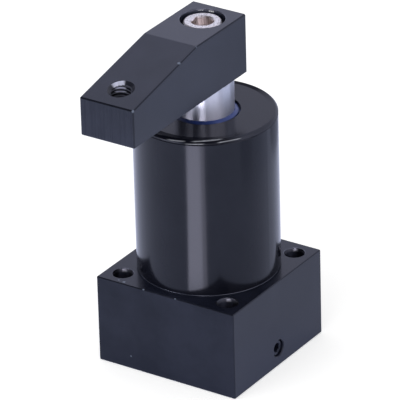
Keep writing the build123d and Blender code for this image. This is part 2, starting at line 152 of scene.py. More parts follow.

# Two painted highlights along the barrel's top edge: bright lines as simple shapes in one brightness. Each
# rises straight between two ends, in degrees from -Y towards +X and millimetres above UPPER_WALL, and shows
# over two stretches of degrees. Then where the surface is paler, a painted sheen beside the lines and below
# the upper one, by degrees
SEAM = -90                       # degrees at which the ramps start
UPPER_WALL = 88.0
TOP_LINE = ((0, 1.2), (45, 2.0))
TOP_LINE_SHOWS = ((5, 15), (25, 45))
WALL_LINE = ((20, 0.75), (50, 1.25))
WALL_LINE_SHOWS = ((20, 30), (45, 60))
GLINT_LEVEL = 0.3
LINE_END = 3                     # degrees over which a stretch fades at each end
LINE_CORE, LINE_FADE = 0.07 * MM, 0.19 * MM     # from its middle to where it fades and to its end
PAINTED_SHEEN_SIDES = ((-20, 1.0), (-8, 0.0), (50, 0.0), (64, 1.0))
PAINTED_SHEEN_FOOT = ((-20, 1.0), (12, 1.0), (19, 0.0))
FOOT_GAP = 0.2 * MM              # from the upper line down to the paler foot

# Small marks where the photograph shows them, each a place in millimetres and a radius
MARK_EDGE = (0.9, 1.4)           # times the radius, to where a mark fades and to its end
# On the arm: pale marks along its top edge; the one at the tip's corner is a painted glint
ARM_MARKS = (((10.0, -29.3, 121.2), 0.8), ((10.3, -56.9, 115.4), 0.8), ((10.4, -19.4, 123.1), 0.4))
# In the arm's recess: painted glints
RECESS_ROWS = ((-142, 123.0, 0.5), (-170, 122.5, 0.4))      # middle in degrees, height and radius
RECESS_RADIUS = 7.5
RECESS_STEP = 5                  # degrees between the marks of a row
# On the base: pale marks at its front edges
BASE_MARKS =(((-17.1, -26.2, 32.0), 0.8), ((-19.4, -25.9, 32.0), 0.5), ((-8.5, -27.3, 32.0), 0.5),
              ((-10.9, -27.5, 0.2), 0.4), ((3.3, -27.5, 0.3), 0.4), ((-14.4, -27.5, 4.9), 0.4),
              ((4.3, -27.4, 31.9), 0.4))

# Directions, in degrees from -Y towards +X, that the painted light and shade of some finishes follow
BRIGHT_LAND = 100
HOLE_LIGHT = 41
HOLE_SIDE = 131
BORE_STREAK = 26
WIPER_LIGHT = 95

LEVEL = (1.0, 1.0, 0.0)          # takes the upright part out of a vector
UPRIGHT = (0.0, 0.0, 1.0)
QUARTER_TURN = 0.25
NOISE_RANGE = (0.35, 0.65)       # where most of a noise value lies
WIDE_RANGE = (0.3, 0.7)          # where nearly all of it lies


def direction(azimuth, elevation=0):
    """Unit vector at an azimuth from -Y towards +X and an elevation, in degrees."""
    az, el = radians(azimuth), radians(elevation)
    return Vector((sin(az) * cos(el), -cos(az) * cos(el), sin(el)))


def placed(name, data):
    """Adds an object with the given mesh, lamp or camera to the scene."""
    thing = bpy.data.objects.new(name, data)
    scene.collection.objects.link(thing)
    return thing


def camera_axes():
    """Unit vectors to the right, up and back of the camera."""
    back = direction(CAM_AZIMUTH, CAM_ELEVATION)
    flat_right = direction(CAM_AZIMUTH + 90)
    flat_up = back.cross(flat_right)
    roll = radians(CAM_ROLL)
    right = cos(roll) * flat_right + sin(roll) * flat_up
    up = -sin(roll) * flat_right + cos(roll) * flat_up
    return right, up, back


def make_camera():
    """The camera at the photograph's viewing angle."""
    right, up, back = camera_axes()
    data = bpy.data.cameras.new("camera")
    data.sensor_width = SENSOR_MM
    data.lens = CAM_FOCAL_PX * SENSOR_MM / PICTURE_PX
    data.shift_x = -CAM_SHIFT_PX[0] / PICTURE_PX
    data.shift_y = CAM_SHIFT_PX[1] / PICTURE_PX
    data.clip_start, data.clip_end = CAM_CLIP
    camera = placed("camera", data)
    turn = Matrix((right, up, back)).transposed()
    camera.matrix_world = Matrix.Translation(MIDDLE + back * CAM_DISTANCE) @ turn.to_4x4()
    scene.camera = camera


class Shader:
    """Short hand for building a procedural material."""

    def __init__(self, name):
        self.material = bpy.data.materials.new(name)
        self.material.use_nodes = True
        self.tree = self.material.node_tree
        self.bsdf = self.tree.nodes["Principled BSDF"]
        self.place = self.add("ShaderNodeTexCoord").outputs["Object"]

    @classmethod
    def on(cls, tree):
        """The same short hand for another node tree."""
        shader = cls.__new__(cls)
        shader.tree = tree
        return shader

    def add(self, kind, inputs=None, **settings):
        """A node with its settings and its inputs, each a value or another node's output."""
        node = self.tree.nodes.new(kind)
        for key, value in settings.items():
            setattr(node, key, value)
        for key, value in (inputs or {}).items():
            self.feed(node.inputs[key], value)
        return node

    def feed(self, socket, value):
        """Links an output to a socket, or sets the socket's own value."""
        if isinstance(value, bpy.types.NodeSocket):
            self.tree.links.new(value, socket)
        else:
            socket.default_value = value

    def set(self, **values):
        """Sets or links inputs of the main shader, named with underscores for blanks."""
        for key, value in values.items():
            self.feed(self.bsdf.inputs[key.replace("_", " ")], value)

    def show(self, shader):
        """Makes a shader node the surface of the material."""
        self.feed(self.tree.nodes["Material Output"].inputs["Surface"], shader.outputs[0])

    def noise(self, scale, detail=3.0, roughness=0.6, vector=None):
        """A noise value in the object's coordinates, in cycles per metre."""
        inputs = {"Vector": vector or self.place, "Scale": scale, "Detail": detail, "Roughness": roughness}
        return self.add("ShaderNodeTexNoise", inputs).outputs["Fac"]

    def lines(self, scale, detail=3.0, roughness=0.6):
        """A noise value drawn out into lines, in cycles per metre along each axis."""
        drawn = self.add("ShaderNodeMapping", {"Vector": self.place, "Scale": scale}).outputs["Vector"]
        return self.noise(1.0, detail, roughness, drawn)

    def math(self, operation, first, second=0.0, third=0.0):
        """One operation on values."""
        node = self.add("ShaderNodeMath", operation=operation)
        for socket, value in zip(node.inputs, (first, second, third)):
            self.feed(socket, value)
        return node.outputs[0]

    def weigh(self, first, second, share):
        """The mean of two values, in which the first has the given share."""
        rest = self.math("MULTIPLY", second, 1 - share)
        return self.math("ADD", self.math("MULTIPLY", first, share), rest)

    def vector(self, operation, first, second=None):
        """One operation on vectors, whose result is a vector or a value."""
        inputs = {0: first} if second is None else {0: first, 1: second}
        result = "Value" if operation in ("DISTANCE", "DOT_PRODUCT", "LENGTH") else "Vector"
        return self.add("ShaderNodeVectorMath", inputs, operation=operation).outputs[result]

    def parts(self, vector):
        """The X, Y and Z of a vector."""
        return self.add("ShaderNodeSeparateXYZ", {0: vector}).outputs

    def normal(self):
        """The surface's normal."""
        return self.add("ShaderNodeNewGeometry").outputs["Normal"]

    def radius(self):
        """Distance from the rod's axis."""
        return self.vector("LENGTH", self.vector("MULTIPLY", self.place, LEVEL))

    def outward(self, vector):
        """The level part of a vector, made a unit long."""
        return self.vector("NORMALIZE", self.vector("MULTIPLY", vector, LEVEL))

    def facing(self, vector, azimuth):
        """How far a unit vector points towards an azimuth, from -1 to 1."""
        return self.vector("DOT_PRODUCT", vector, direction(azimuth))

    def round_axis(self):
        """A tangent that runs round the rod's axis."""
        return self.add("ShaderNodeTangent", direction_type="RADIAL", axis="Z").outputs[0]

    def brush(self, amount, tangent):
        """Draws reflections out across a tangent, as fine grooves along it do."""
        self.set(Anisotropic=amount, Anisotropic_Rotation=QUARTER_TURN, Tangent=tangent)

    def spread(self, value, low, high, out_low=0.0, out_high=1.0):
        """Maps a range of a value onto another, clamped."""
        inputs = {"Value": value, "From Min": low, "From Max": high, "To Min": out_low, "To Max": out_high}
        return self.add("ShaderNodeMapRange", inputs).outputs["Result"]

    def vary(self, noise, low=0.0, high=1.0, span=NOISE_RANGE):
        """Spreads a noise value over a range."""
        return self.spread(noise, *span, low, high)

    def blend(self, factor, first, second):
        """A mix of two colours."""
        node = self.add("ShaderNodeMix", data_type="RGBA")
        for key, value in (("Factor_Float", factor), ("A_Color", first), ("B_Color", second)):
            socket = next(s for s in node.inputs if s.identifier == key)
            self.feed(socket, value)
        return next(s for s in node.outputs if s.identifier == "Result_Color")

    def ramp(self, value, stops):
        """Maps a value onto levels between stops, each a value of 0 to 1 and its level."""
        node = self.add("ShaderNodeValToRGB", {"Fac": value})
        points = node.color_ramp.elements
        while len(points) < len(stops):
            points.new(0.5)
        for point, (at, level) in zip(points, stops):
            point.position = at
            point.color = rgb(level, level, level)
        return node.outputs["Color"]

    def bump(self, height, distance, strength, normal=None):
        """A bump from a height, its distance in metres."""
        inputs = {"Height": height, "Distance": distance, "Strength": strength}
        if normal is not None:
            inputs["Normal"] = normal
        return self.add("ShaderNodeBump", inputs).outputs["Normal"]

    def two_bumps(self, lines, specks, distances, strengths):
        """Fine specks on top of lines."""
        under = self.bump(lines, distances[0], strengths[0])
        return self.bump(specks, distances[1], strengths[1], under)


def rgb(red, green, blue):
    """A linear colour with full alpha."""
    return (red, green, blue, 1.0)


def times(colour, factor):
    """A colour of three parts made darker or lighter."""
    return rgb(*(factor * part for part in colour))


def wear_and_glint_marks(s, marks, surface, wear_and_glint_colour):
    """Blends small marks into a colour: wear, and painted glints."""
    crumbs = s.noise(2600.0, detail=2.0)
    for place, radius in marks:
        away = s.vector("DISTANCE", s.place, tuple(part * MM for part in place))
        ragged = s.math("MULTIPLY_ADD", crumbs, radius * MM, away)
        mark = s.spread(ragged, *(edge * radius * MM for edge in MARK_EDGE), 1.0, 0.0)
        surface = s.blend(mark, surface, wear_and_glint_colour)
    return surface


def recess_glints():
    """Rows of three small painted glints on the wall of the arm's recess."""
    marks = []
    for middle, height, radius in RECESS_ROWS:
        for around in (middle - RECESS_STEP, middle, middle + RECESS_STEP):
            x, y, level = direction(around) * RECESS_RADIUS
            marks.append(((x, y, level + height), radius))
    return marks


def black_oxide(name, grain, roughness=(0.2, 0.27), tone=1.0, gloss=1.0, streaks=0.0, marks=(),
                wear_and_glint_colour=(0.16, 0.19, 0.26)):
    """Satin black oxide over ground steel: fine grain lines, faint clouds, specks, and small marks, which
    are wear on some pieces and painted glints on others.

    tone scales the colour and gloss the reflection; streaks is how much the grain lines show in both.
    """
    s = Shader(name)
    clouds = s.noise(45.0, detail=4.0)
    specks = s.noise(2400.0, detail=2.0)
    lines = s.lines(grain)
    mixed = s.spread(s.weigh(lines, clouds, streaks), 0.38, 0.62)
    colour = s.blend(mixed, times((0.005, 0.006, 0.012), tone), times((0.010, 0.0115, 0.021), tone))
    s.set(Base_Color=wear_and_glint_marks(s, marks, colour, rgb(*wear_and_glint_colour)))
    s.set(Roughness=s.vary(s.weigh(lines, clouds, 0.6), *roughness))
    sheen = gloss
    if streaks:
        sheen = s.spread(lines, 0.36, 0.64, gloss * (1 - streaks / 3), gloss * (1 + streaks / 3))
    s.set(Specular_IOR_Level=sheen, Specular_Tint=rgb(0.84, 0.9, 1.0))
    s.set(Normal=s.two_bumps(lines, specks, (4 * UM, 5 * UM), (0.5, 0.2)))
    return s.material


def turned_black():
    """Polished black oxide on turned steel, with rings of the lathe and faint clouds.

    The top is duller than the wall, and the ring along its edge is dull, a painted shade, but for the side
    at BRIGHT_LAND.
    """
    s = Shader("barrel_black")
    clouds = s.noise(38.0, detail=4.0)
    rings = s.lines((12.0, 12.0, 9000.0), roughness=0.7)
    specks = s.noise(2600.0, detail=2.0)
    s.set(Base_Color=s.blend(s.vary(clouds), rgb(0.0055, 0.006, 0.011), rgb(0.009, 0.01, 0.017)))
    s.set(Roughness=s.vary(clouds, 0.15, 0.19, WIDE_RANGE))
    height = s.parts(s.place)["Z"]
    sheen = s.spread(height, BARREL_TOP - 0.1 * MM, BARREL_TOP, 0.25, 0.155)
    # On the ring along the top edge the gloss is turned down away from BRIGHT_LAND: painted shade
    on_ring = s.math("MULTIPLY", s.math("GREATER_THAN", s.radius(), LAND_RADIUS),
                     s.math("GREATER_THAN", height, BARREL_TOP - 0.01 * MM))
    turned_away = s.spread(s.facing(s.outward(s.place), BRIGHT_LAND), 0.45, 0.85, 1.0, 0.0)
    ring_painted_shade = s.spread(s.math("MULTIPLY", on_ring, turned_away), 0.0, 1.0, 1.0, 0.1)
    s.set(Specular_IOR_Level=s.math("MULTIPLY", sheen, ring_painted_shade), Specular_Tint=rgb(0.88, 0.92, 1.0))
    s.brush(0.5, s.round_axis())
    s.set(Normal=s.two_bumps(rings, specks, (3 * UM, 4 * UM), (0.4, 0.15)))
    return s.material


def round_with_painted_glints():
    """The rounding of the barrel's top edge: black, with two painted highlights as bright lines and a
    painted sheen beside them.
    """
    s = Shader("barrel_round_painted_glints")
    crumbs = s.noise(900.0, detail=2.0)
    part = s.parts(s.place)
    around = s.math("ARCTAN2", part["X"], s.math("MULTIPLY", part["Y"], -1.0))
    turn = s.spread(around, radians(SEAM), radians(SEAM + 360))

    def by_angle(stops):
        return s.ramp(turn, [((angle - SEAM) / 360, level) for angle, level in stops])

    def line_height(ends):
        (first, low), (last, high) = ends
        heights = ((UPPER_WALL + low) * MM, (UPPER_WALL + high) * MM)
        return s.spread(around, radians(first), radians(last), *heights)

    def shown(stretches):
        stops = []
        for first, last in stretches:
            stops += [(first - LINE_END, 0.0), (first, GLINT_LEVEL)]
            stops += [(last, GLINT_LEVEL), (last + LINE_END, 0.0)]
        return by_angle(stops)

    # Painted sheen: paler beside the lines and below the upper one
    foot_top = s.math("SUBTRACT", line_height(TOP_LINE), FOOT_GAP)
    foot = s.math("MULTIPLY", by_angle(PAINTED_SHEEN_FOOT), s.math("LESS_THAN", part["Z"], foot_top))
    pale = s.math("MAXIMUM", foot, by_angle(PAINTED_SHEEN_SIDES))
    colour = s.blend(pale, rgb(0.0045, 0.005, 0.01), rgb(0.037, 0.04, 0.058))
    # Painted highlights: the two bright lines
    for ends, stretches in ((TOP_LINE, TOP_LINE_SHOWS), (WALL_LINE, WALL_LINE_SHOWS)):
        away = s.math("ABSOLUTE", s.math("SUBTRACT", part["Z"], line_height(ends)))
        line = s.math("MULTIPLY", s.spread(away, LINE_CORE, LINE_FADE, 1.0, 0.0), shown(stretches))
        level = s.math("MULTIPLY", line, s.spread(crumbs, 0.3, 0.6, 1.0, 1.3))
        colour = s.blend(level, colour, rgb(0.86, 0.89, 1.0))
    s.set(Base_Color=colour)
    s.set(Roughness=s.vary(crumbs, 0.15, 0.2, WIDE_RANGE), Specular_IOR_Level=0.12)
    s.set(Normal=s.bump(crumbs, 3 * UM, 0.3))
    return s.material


def thread_light(s, normal):
    """The thread's colour with painted light: paler on the flanks that face up, most of all where the wall
    faces the lamps.
    """
    upward = s.spread(s.parts(normal)["Z"], 0.3, 0.8)
    towards = s.spread(s.facing(s.outward(normal), HOLE_LIGHT), -0.2, 0.8, 0.2, 1.0)
    lit = s.math("MULTIPLY", upward, towards)
    return s.blend(lit, rgb(0.008, 0.008, 0.014), rgb(0.115, 0.12, 0.16))


def sink_light(s, normal):
    """The countersink's colour: a painted highlight, a bright streak where it faces the lamps, and painted
    light to one side of that.
    """
    outward = s.outward(normal)
    streak = s.spread(s.facing(outward, HOLE_LIGHT), cos(radians(30)), cos(radians(20)))
    side = s.spread(s.facing(outward, HOLE_SIDE), -0.2, 0.3)
    dull = s.blend(side, rgb(0.01, 0.011, 0.018), rgb(0.045, 0.047, 0.06))
    return s.blend(streak, dull, rgb(0.68, 0.7, 0.88))


def tapped(name, light):
    """Steel of a threaded hole or its countersink, with the colour that a function gives by the normal."""
    s = Shader(name)
    clouds = s.noise(400.0)
    marks = s.lines((300.0, 300.0, 900.0))
    s.set(Base_Color=s.blend(s.vary(clouds, 0.0, 0.3), light(s, s.normal()), rgb(0.01, 0.011, 0.018)))
    s.set(Roughness=s.vary(marks, 0.3, 0.4), Specular_IOR_Level=0.15)
    s.set(Normal=s.bump(marks, 8 * UM, 0.2))
    return s.material


def reamed():
    """The wall of a bolt hole: dark, paler at its mouth as painted light, with a painted highlight, a bright
    streak where it faces the lamps.
    """
    s = Shader("bore_steel")
    clouds = s.noise(400.0)
    marks = s.lines((60.0, 60.0, 5000.0))
    normal = s.normal()
    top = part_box("base_block")[1].z
    height = s.math("MULTIPLY_ADD", clouds, BOLT_RAGGED, s.parts(s.place)["Z"])
    mouth = s.spread(height, *(top - depth for depth in BOLT_PALE))
    dark = s.blend(s.vary(clouds), rgb(0.035, 0.038, 0.055), rgb(0.05, 0.055, 0.075))
    streak = s.spread(s.facing(normal, BORE_STREAK), 0.955, 0.995)
    pale = s.blend(streak, rgb(0.12, 0.125, 0.145), rgb(0.75, 0.75, 0.8))
    s.set(Base_Color=s.blend(mouth, dark, pale), Metallic=0.9)
    s.set(Roughness=s.vary(marks, 0.45, 0.55))
    s.brush(0.9, s.vector("CROSS_PRODUCT", normal, UPRIGHT))
    s.set(Normal=s.bump(marks, 8 * UM, 0.5))
    return s.material


def rim_steel():
    """The chamfered mouth of a hole, under a thin oxide: greyer than the outside, with tool marks."""
    s = Shader("rim_steel")
    clouds = s.noise(400.0)
    marks = s.lines((60.0, 60.0, 2500.0))
    grey = (0.11, 0.115, 0.135)
    s.set(Base_Color=s.blend(s.vary(clouds), times(grey, 0.6), rgb(*grey)), Metallic=0.9)
    s.set(Roughness=s.vary(marks, 0.17, 0.24))
    s.set(Normal=s.bump(marks, 8 * UM, 0.5))
    return s.material


def chrome():
    """Ground and hard-chromed rod: bright, with a smear along the rod from its grinding rings."""
    s = Shader("rod_chrome_ground")
    rings = s.lines((20.0, 20.0, 7000.0), roughness=0.7)
    clouds = s.noise(90.0, roughness=0.5)
    s.set(Base_Color=s.blend(clouds, rgb(0.56, 0.57, 0.61), rgb(0.66, 0.67, 0.7)), Metallic=1.0)
    s.set(Roughness=s.vary(clouds, 0.27, 0.32, WIDE_RANGE))
    s.brush(0.88, s.round_axis())
    s.set(Normal=s.bump(rings, 2 * UM, 0.35))
    return s.material


def plated():
    """The screw: plated steel with forged specks on its head, and a browner socket."""
    s = Shader("screw_plated")
    specks = s.noise(1700.0, detail=4.0, roughness=0.7)
    clouds = s.noise(350.0)
    head = s.blend(s.spread(specks, 0.38, 0.5), rgb(0.26, 0.235, 0.215), rgb(0.69, 0.67, 0.635))
    lines = s.lines((1500.0, 1500.0, 60.0), detail=2.0, roughness=0.5)
    walls = s.blend(s.vary(lines), rgb(0.46, 0.41, 0.38), rgb(0.8, 0.73, 0.69))
    sunk_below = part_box("arm_screw")[1].z - SOCKET_LIP
    in_socket = s.math("MULTIPLY", s.math("LESS_THAN", s.radius(), SOCKET_RADIUS),
                       s.math("LESS_THAN", s.parts(s.place)["Z"], sunk_below))
    s.set(Base_Color=s.blend(in_socket, head, walls), Metallic=0.95)
    s.set(Roughness=s.vary(clouds, 0.32, 0.44, WIDE_RANGE))
    s.set(Normal=s.bump(specks, 20 * UM, 0.5))
    return s.material


def bright_metal(name, colour, roughness):
    """A machined inner piece: fine lines and small changes of tone."""
    s = Shader(name)
    lines = s.lines((40.0, 40.0, 5000.0))
    clouds = s.noise(120.0, roughness=0.5)
    s.set(Base_Color=s.blend(clouds, times(colour, 0.82), rgb(*colour)), Metallic=1.0)
    s.set(Roughness=s.vary(lines, roughness - 0.04, roughness + 0.06))
    s.set(Normal=s.bump(lines, 3 * UM, 0.5))
    return s.material


def wiper():
    """The blue lip of the wiper, deeper in colour on the side away from WIPER_LIGHT, under the arm: painted
    shade.
    """
    s = Shader("wiper_blue")
    grain = s.noise(1800.0)
    lit = s.spread(s.facing(s.outward(s.place), WIPER_LIGHT), -0.3, 0.8)
    colour = s.blend(lit, rgb(0.005, 0.01, 0.045), rgb(0.022, 0.05, 0.22))
    s.set(Base_Color=s.blend(s.vary(grain, 0.0, 0.15), colour, rgb(0.02, 0.03, 0.07)))
    s.set(Roughness=s.vary(grain, 0.3, 0.4), Specular_IOR_Level=0.4)
    s.set(Normal=s.bump(grain, 10 * UM, 0.3))
    return s.material


def moulded(name, colour, roughness):
    """Rubber or plastic of a seal: a soft surface with fine grain."""
    s = Shader(name)
    grain = s.noise(1800.0)
    clouds = s.noise(160.0, roughness=0.5)
    lighter = rgb(*(1.25 * part + 0.002 for part in colour))
    s.set(Base_Color=s.blend(clouds, rgb(*colour), lighter))
    s.set(Roughness=s.vary(grain, roughness - 0.05, roughness + 0.05))
    s.set(Normal=s.bump(grain, 10 * UM, 0.4))
    return s.material


def reworked(node):
    """A working copy of a CAD node's mesh, with its split vertices joined."""
    shape = bmesh.new()
    shape.from_mesh(nodes[node].data)
    bmesh.ops.remove_doubles(shape, verts=shape.verts, dist=JOIN_REACH)
    for face in shape.faces:
        face.material_index = SURFACE
    return shape


def open_wall(shape, centre, axis, radius, low, high, flats):
    """Deletes a hole's wall and its chamfers, and keeps the flat faces with the given normals."""
    def within(vert):
        away = vert.co - centre
        along = away.dot(axis)
        return low < along < high and (away - along * axis).length < radius

    doomed = [face for face in shape.faces
              if all(abs(face.normal.dot(flat)) <= FLAT_COSINE for flat in flats)
              and all(within(vert) for vert in face.verts)]
    bmesh.ops.delete(shape, geom=doomed, context="FACES")


def groove_depth(phase, pitch, depth):
    """Depth of a thread at a phase of 0 to 1; the root is at 0 and the crest at 0.5."""
    from_root = min(phase % 1.0, 1.0 - phase % 1.0) * pitch - THREAD_ROOT * pitch
    return depth * min(1.0, max(0.0, 1.0 - from_root / (depth * THREAD_FLANK)))


def thread_wall(shape, place, core, major, pitch, start, stop, widen):
    """Adds a threaded hole's wall to a mesh.

    place(angle, radius, along) gives a point, start and stop(angle) the wall's ends along the hole, and
    widen(angle, along) the radius of the chamfers there. Rows follow the thread, so its edges stay sharp.
    """
    depth = major - core
    flank = depth * THREAD_FLANK / pitch
    rise = [0.0, THREAD_ROOT, THREAD_ROOT + flank / 2, THREAD_ROOT + flank]
    phases = rise + [0.5] + [1 - phase for phase in rise[:0:-1]]
    angles = [2 * pi * i / THREAD_AROUND for i in range(THREAD_AROUND + 1)]
    low = min(start(angle) for angle in angles)
    high = max(stop(angle) for angle in angles)
    turns = int((high - low) / pitch) + THREAD_SPARE
    columns = []
    for i, angle in enumerate(angles):
        column = []
        for turn in range(-1, turns):
            for phase in phases:
                along = low + (turn + phase + i / THREAD_AROUND) * pitch
                along = min(max(along, start(angle)), stop(angle))
                turned = (along - low) / pitch - i / THREAD_AROUND
                mouth = widen(angle, along)
                left = min(1.0, max(0.0, 1.0 - (mouth - core) / (THREAD_FADE * depth)))
                radius = max(core + left * groove_depth(turned, pitch, depth), mouth)
                column.append(shape.verts.new(place(angle, radius, along)))
        columns.append(column)
    made = []
    for column, following in zip(columns, columns[1:]):
        for row in range(len(column) - 1):
            corners = (column[row], following[row], following[row + 1], column[row + 1])
            here, there = (corners[0].co - corners[3].co).length, (corners[1].co - corners[2].co).length
            if here + there > SAME_PLACE:
                face = shape.faces.new(corners)
                face.material_index = THREAD
                made.append(face)
    in_faces = {vert for face in made for vert in face.verts}
    used = [vert for column in columns for vert in column if vert in in_faces]
    unused = [vert for column in columns for vert in column if vert not in in_faces]
    bmesh.ops.delete(shape, geom=unused, context="VERTS")
    bmesh.ops.remove_doubles(shape, verts=used, dist=SAME_PLACE)


def round_rims(mesh):
    """Shades the thin chamfers in the rim's slot as roundings between their neighbours."""
    beside = [Vector() for _ in mesh.vertices]
    for polygon in mesh.polygons:
        if polygon.material_index != RIM:
            for vertex in polygon.vertices:
                beside[vertex] += polygon.normal
    normals = [corner.vector.copy() for corner in mesh.corner_normals]
    for polygon in mesh.polygons:
        if polygon.material_index == RIM:
            for corner in polygon.loop_indices:
                around = beside[mesh.loops[corner].vertex_index]
                if around.length > LEAST_NORMAL:
                    normals[corner] = around.normalized()
    mesh.normals_split_custom_set(normals)


def finished(shape, node, body, finishes):
    """Makes the piece that stands for a CAD node from its reworked mesh."""
    for face in shape.faces:
        face.smooth = True
    for edge in shape.edges:
        turn = edge.calc_face_angle(0.0)
        broad = sum(face.calc_area() > BROAD_FACE for face in edge.link_faces) == 2
        edge.smooth = turn < SOFT_TURN and not (broad and turn > BROAD_TURN)
    mesh = bpy.data.meshes.new(f"{node}_dressed")
    shape.to_mesh(mesh)
    shape.free()
    for spare in ("custom_normal", "sharp_face"):
        if spare in mesh.attributes:
            mesh.attributes.remove(mesh.attributes[spare])
    for finish in finishes:
        mesh.materials.append(materials[finish])
    round_rims(mesh)
    piece = placed(f"{node}_dressed", mesh)
    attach(piece, body)
    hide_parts(node)


def mark_edges(shape):
    """Gives the thin chamfers between main faces, found by their slanted normals, the edge material."""
    for face in shape.faces:
        slanted = sum(abs(part) > SLANT for part in face.normal) >= 2
        if face.material_index == SURFACE and slanted:
            face.material_index = EDGE


def make_arm():
    """The arm with the thread in its tip."""
    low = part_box("clamp_arm")[0]
    shape = reworked("clamp_arm")
    up = Vector((0, -sin(TIP_SLOPE), cos(TIP_SLOPE)))
    axis = Vector(UPRIGHT)
    centre = Vector((0, -TIP_REACH, 0))
    top = low.z + TIP_HEIGHT + (ARM_REACH - TIP_REACH) * tan(TIP_SLOPE)
    open_wall(shape, centre, axis, TIP_HOLE_REACH, low.z - MM, top + 2 * MM, (up, axis))

    def place(angle, radius, along):
        return centre + Vector((radius * cos(angle), radius * sin(angle), along))

    def stop(angle):
        """Height of the mouth's rim, a circle on the slope."""
        radius = TIP_MOUTH / sqrt(cos(angle)**2 + (sin(angle) / cos(TIP_SLOPE))**2)
        return top + radius * sin(angle) * tan(TIP_SLOPE)

    def widen(angle, along):
        below = TIP_MOUTH - (along - low.z)
        return max(below, sunk(angle, along - top))

    def sunk(angle, height):
        """Radius of the countersink, whose axis is square to the slope."""
        radius = TIP_CORE
        for _ in range(SOLVER_STEPS):
            point = Vector((radius * cos(angle), radius * sin(angle), height))
            depth = -point.dot(up)
            across = (point + depth * up).length
            radius += (TIP_MOUTH - depth) - across
        return radius

    thread_wall(shape, place, TIP_CORE, TIP_MAJOR, TIP_PITCH, lambda angle: low.z, stop, widen)
    mark_edges(shape)
    for face in shape.faces:
        middle = face.calc_center_median()
        in_hole = face.material_index == THREAD
        if face.normal.y < -FLAT_COSINE and middle.y < -ARM_REACH + FACE_REACH:
            face.material_index = TIP
        if in_hole and (middle - centre).xy.length > TIP_CORE + SINK_STEP and middle.z > top - SINK_DEPTH:
            face.material_index = SINK
        if middle.xy.length < COUNTERBORE_RIM and not in_hole and abs(face.normal.z) < STEEP:
            face.material_index = RIM if face.normal.z > SLANT else BORE
    finished(shape, "clamp_arm", "rod_and_arm",
             ("arm", "edge", "counterbore", "thread", "tip", "rim", "sink"))


def make_base():
    """The base with the threads of its oil ports."""
    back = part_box("base_block")[1].y
    shape = reworked("base_block")
    mark_edges(shape)
    inward = Vector((0, -1, 0))
    for side in (-1, 1):
        centre = Vector((side * PORT_OFFSET, back, PORT_HEIGHT))
        open_wall(shape, centre, inward, PORT_HOLE_REACH, -WALL_MARGIN, PORT_DEPTH + WALL_MARGIN, (inward,))

        def place(angle, radius, along):
            return centre + Vector((radius * cos(angle), -along, radius * sin(angle)))

        thread_wall(shape, place, PORT_CORE, PORT_MAJOR, PORT_PITCH, lambda angle: 0.0,
                    lambda angle: PORT_DEPTH, lambda angle, along: max(PORT_MOUTH - along, 0))
    for face in shape.faces:
        middle = face.calc_center_median()
        across = min((middle.xy - Vector(centre)).length for centre in BOLT_CENTRES)
        if across < BOLT_MOUTH and abs(face.normal.z) < STEEP:
            face.material_index = RIM if abs(face.normal.z) > SLANT else BORE
    finished(shape, "base_block", "housing", ("base", "edge", "bore", "thread", "base", "rim"))


def make_barrel():
    """The barrel with the small flats of its top edge shaded as one rounding."""
    mesh = nodes["barrel"].data.copy()
    mesh.name = "barrel_dressed"
    mesh.materials.clear()
    for finish in ("barrel", "barrel_round_painted_glints"):
        mesh.materials.append(materials[finish])
    normals = [corner.vector.copy() for corner in mesh.corner_normals]
    for polygon in mesh.polygons:
        points = [mesh.vertices[v].co for v in polygon.vertices]
        leans = [lean for point in points for height, lean in EDGE_RINGS
                 if abs(point.z - height * MM) < RING_REACH]
        outside = min(point.xy.length for point in points) > BARREL_RADIUS - MM
        rounded = outside and len(leans) == len(points) and polygon.normal.z < TOP_FACE
        polygon.material_index = int(rounded)
        if rounded:
            for corner, point, lean in zip(polygon.loop_indices, points, leans):
                outward = Vector((point.x, point.y, 0)).normalized()
                normals[corner] = outward * cos(radians(lean)) + Vector((0, 0, sin(radians(lean))))
    mesh.normals_split_custom_set(normals)
    barrel = placed("barrel_dressed", mesh)
    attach(barrel, "housing")
    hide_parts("barrel")


def make_foot_bead():
    """The thin bead in the groove where the barrel meets the base."""
    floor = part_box("base_block")[1].z
    shape = bmesh.new()
    rings = []
    for i in range(BEAD_AROUND):
        angle = 2 * pi * i / BEAD_AROUND
        ring = []
        for j in range(BEAD_SIDES):
            turn = 2 * pi * j / BEAD_SIDES
            radius = BEAD_RADIUS + BEAD_SECTION * cos(turn)
            height = floor + BEAD_SECTION * (1 + sin(turn))
            ring.append(shape.verts.new((radius * cos(angle), radius * sin(angle), height)))
        rings.append(ring)
    for here, there in zip(rings, rings[1:] + rings[:1]):
        for j in range(BEAD_SIDES):
            k = (j + 1) % BEAD_SIDES
            shape.faces.new((here[j], there[j], there[k], here[k]))
    mesh = bpy.data.meshes.new("foot_bead")
    shape.to_mesh(mesh)
    shape.free()
    mesh.polygons.foreach_set("use_smooth", [True] * len(mesh.polygons))
    mesh.materials.append(materials["bead"])
    bead = placed("foot_bead", mesh)
    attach(bead, "housing")


def give(material, *names):
    """Puts a material on CAD nodes."""
    for name in names:
        for slot in nodes[name].material_slots:
            slot.material = material


def background_ray(s):
    """One for camera, glossy and transmission rays."""
    path = s.add("ShaderNodeLightPath").outputs
    some = s.math("MAXIMUM", path["Is Camera Ray"], path["Is Glossy Ray"])
    return s.math("MAXIMUM", some, path["Is Transmission Ray"])


